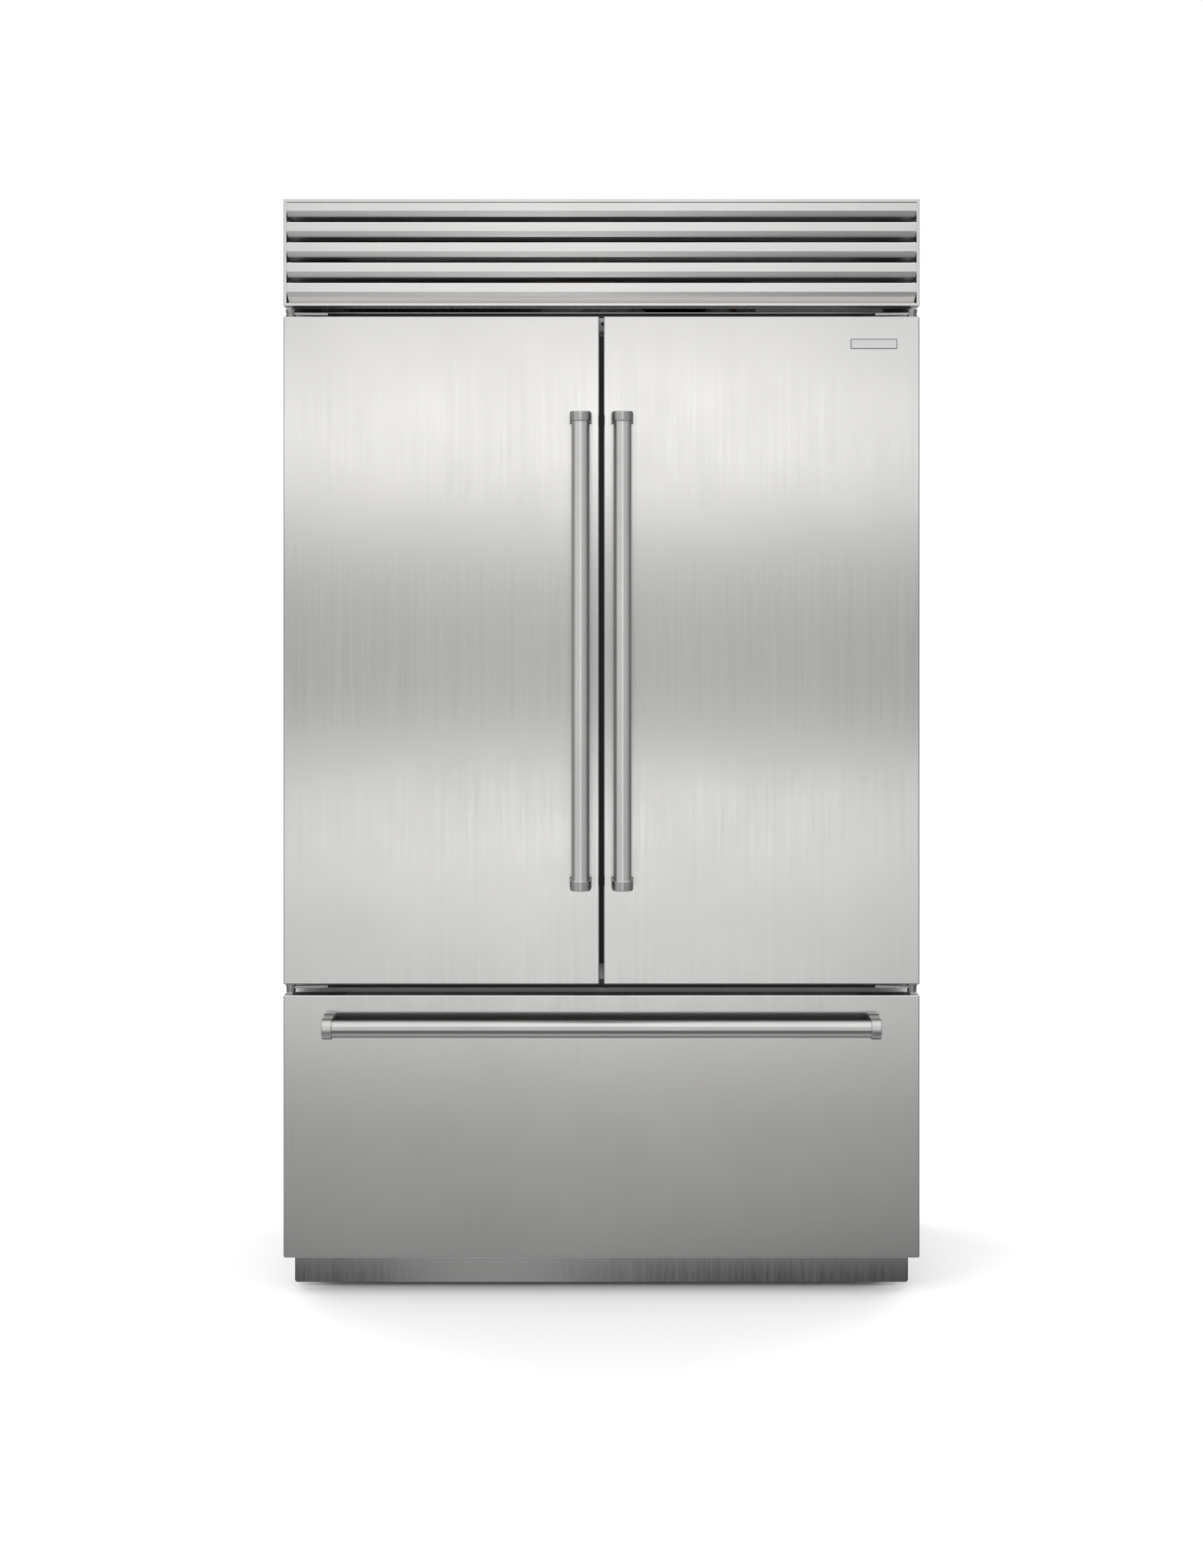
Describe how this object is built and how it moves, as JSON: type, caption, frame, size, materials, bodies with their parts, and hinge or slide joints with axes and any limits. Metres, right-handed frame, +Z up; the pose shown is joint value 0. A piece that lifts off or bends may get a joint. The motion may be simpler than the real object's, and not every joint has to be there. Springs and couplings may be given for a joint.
{
  "type": "french door refrigerator",
  "caption": "Built-in stainless french door refrigerator with a louvred top grille, tubular handles, a bottom freezer drawer and a recessed kickplate; doors, drawer and fans move.",
  "frame": {"origin": "centre of the bottom of the bounding box, on the floor", "axes": "+Z up, the doors face -Y, +X to the right when facing the appliance"},
  "size_m": [1.219, 0.6759, 2.105],
  "materials": {
    "steel_brushed": "brushed stainless, vertical grain",
    "steel_handle": "brushed stainless bar",
    "steel_bracket": "satin stainless",
    "steel_louvre": "brushed stainless, horizontal grain",
    "badge_metal": "satin, blank",
    "liner_white": "smooth, slightly glossy",
    "gasket_grey": "matt",
    "clear_bin": "clear moulded",
    "shelf_glass": "clear, green edge",
    "trim_aluminium": "satin",
    "guide_white": "moulded",
    "galvanised": "spangled zinc",
    "chassis_black": "satin powder coat",
    "kick_steel": "brushed stainless",
    "coil_metal": "mill finish",
    "machine_black": "gloss black",
    "fan_black": "moulded",
    "rubber_black": "matt",
    "control_grey": "moulded",
    "brass_fitting": "turned",
    "zinc_steel": "zinc plated",
    "lamp_lens": "frosted"
  },
  "bodies": {
    "cabinet": {"slide_cabinet_members": "zinc_steel", "side_panels": "galvanised", "back_panel": "galvanised", "top_panel": "galvanised", "inner_cabinet": "liner_white", "front_rails": "steel_brushed", "centre_post": "trim_aluminium", "post_guide": "guide_white", "hinges": "steel_bracket", "base_frame": "chassis_black", "kickplate": "kick_steel", "grille_brackets": "zinc_steel", "machine_deck": "galvanised", "condenser_coil": "coil_metal", "fan_shroud": "machine_black", "fan_motors": "machine_black", "compressor": "machine_black", "compressor_feet": "rubber_black", "control_box": "control_grey", "water_valve": "brass_fitting", "power_gland": "rubber_black", "glass_shelves": "shelf_glass", "shelf_frames": "trim_aluminium", "fridge_duct": "liner_white", "freezer_cover": "liner_white", "evaporators": "coil_metal", "ceiling_light": "lamp_lens"},
    "left_door": {"left_door_skin": "steel_brushed", "left_door_liner": "liner_white", "left_door_gasket": "gasket_grey", "left_door_handle_bar": "steel_handle", "left_door_handle_brackets": "steel_bracket", "left_door_bins": "clear_bin"},
    "right_door": {"right_door_skin": "steel_brushed", "right_door_liner": "liner_white", "right_door_gasket": "gasket_grey", "right_door_handle_bar": "steel_handle", "right_door_handle_brackets": "steel_bracket", "right_door_bins": "clear_bin", "badge_plate": "badge_metal"},
    "freezer_drawer": {"drawer_skin": "steel_brushed", "drawer_liner": "liner_white", "drawer_gasket": "gasket_grey", "drawer_handle_bar": "steel_handle", "drawer_handle_brackets": "steel_bracket", "freezer_basket": "liner_white", "slide_drawer_members": "zinc_steel"},
    "slide_middles": {"slide_middle_members": "zinc_steel"},
    "sliding_tray": {"freezer_tray": "clear_bin"},
    "grille": {"grille_frame": "steel_louvre", "grille_louvres": "steel_louvre"},
    "condenser_fan_wheel": {"condenser_fan": "fan_black"},
    "refrigerator_fan_wheel": {"refrigerator_fan": "fan_black"},
    "freezer_fan_wheel": {"freezer_fan": "fan_black"},
    "rocker": {"power_rocker": "fan_black"},
    "left_crisper": {"crisper_left": "clear_bin"},
    "right_crisper": {"crisper_right": "clear_bin"},
    "left_leg": {"levelling_leg_left": "zinc_steel"},
    "right_leg": {"levelling_leg_right": "zinc_steel"},
    "rollers": {"rear_rollers": "fan_black"}
  },
  "joints": [
    {"name": "left_door_swing", "type": "hinge", "parent": "cabinet", "child": "left_door", "pos_m": [-0.5965, -0.258, 1.23935], "axis": [0, 0, -1], "range_deg": [0, 105]},
    {"name": "right_door_swing", "type": "hinge", "parent": "cabinet", "child": "right_door", "pos_m": [0.5965, -0.258, 1.23935], "axis": [0, 0, 1], "range_deg": [0, 105]},
    {"name": "freezer_drawer_slide", "type": "slide", "parent": "cabinet", "child": "freezer_drawer", "axis": [0, -1, 0], "range_m": [0, 0.38]},
    {"name": "slide_middle_travel", "type": "slide", "parent": "cabinet", "child": "slide_middles", "axis": [0, -1, 0], "range_m": [0, 0.19]},
    {"name": "freezer_tray_slide", "type": "slide", "parent": "freezer_drawer", "child": "sliding_tray", "axis": [0, 1, 0], "range_m": [0, 0.147]},
    {"name": "grille_tilt", "type": "hinge", "parent": "cabinet", "child": "grille", "pos_m": [0, -0.216, 2.089], "axis": [-1, 0, 0], "range_deg": [0, 40]},
    {"name": "condenser_fan_spin", "type": "hinge", "parent": "cabinet", "child": "condenser_fan_wheel", "pos_m": [-0.33175, -0.07, 2.00125], "axis": [0, 1, 0], "continuous": true},
    {"name": "refrigerator_fan_spin", "type": "hinge", "parent": "cabinet", "child": "refrigerator_fan_wheel", "pos_m": [0, 0.252, 1.6899], "axis": [0, 1, 0], "continuous": true},
    {"name": "freezer_fan_spin", "type": "hinge", "parent": "cabinet", "child": "freezer_fan_wheel", "pos_m": [0, 0.252, 0.33782], "axis": [0, 1, 0], "continuous": true},
    {"name": "power_rocker_tilt", "type": "hinge", "parent": "cabinet", "child": "rocker", "pos_m": [0.3535, -0.142, 1.9775], "axis": [1, 0, 0], "range_deg": [-7, 7]},
    {"name": "left_crisper_slide", "type": "slide", "parent": "cabinet", "child": "left_crisper", "axis": [0, -1, 0], "range_m": [0, 0.055]},
    {"name": "right_crisper_slide", "type": "slide", "parent": "cabinet", "child": "right_crisper", "axis": [0, -1, 0], "range_m": [0, 0.055]},
    {"name": "left_leg_screw", "type": "slide", "parent": "cabinet", "child": "left_leg", "axis": [0, 0, -1], "range_m": [0, 0.02]},
    {"name": "right_leg_screw", "type": "slide", "parent": "cabinet", "child": "right_leg", "axis": [0, 0, -1], "range_m": [0, 0.02]},
    {"name": "rear_roller_roll", "type": "hinge", "parent": "cabinet", "child": "rollers", "pos_m": [0, 0.273, 0.024], "axis": [1, 0, 0], "continuous": true}
  ],
  "couplings": [
    {"joint": "slide_middle_travel", "follows": "freezer_drawer_slide", "ratio": 0.5}
  ]
}
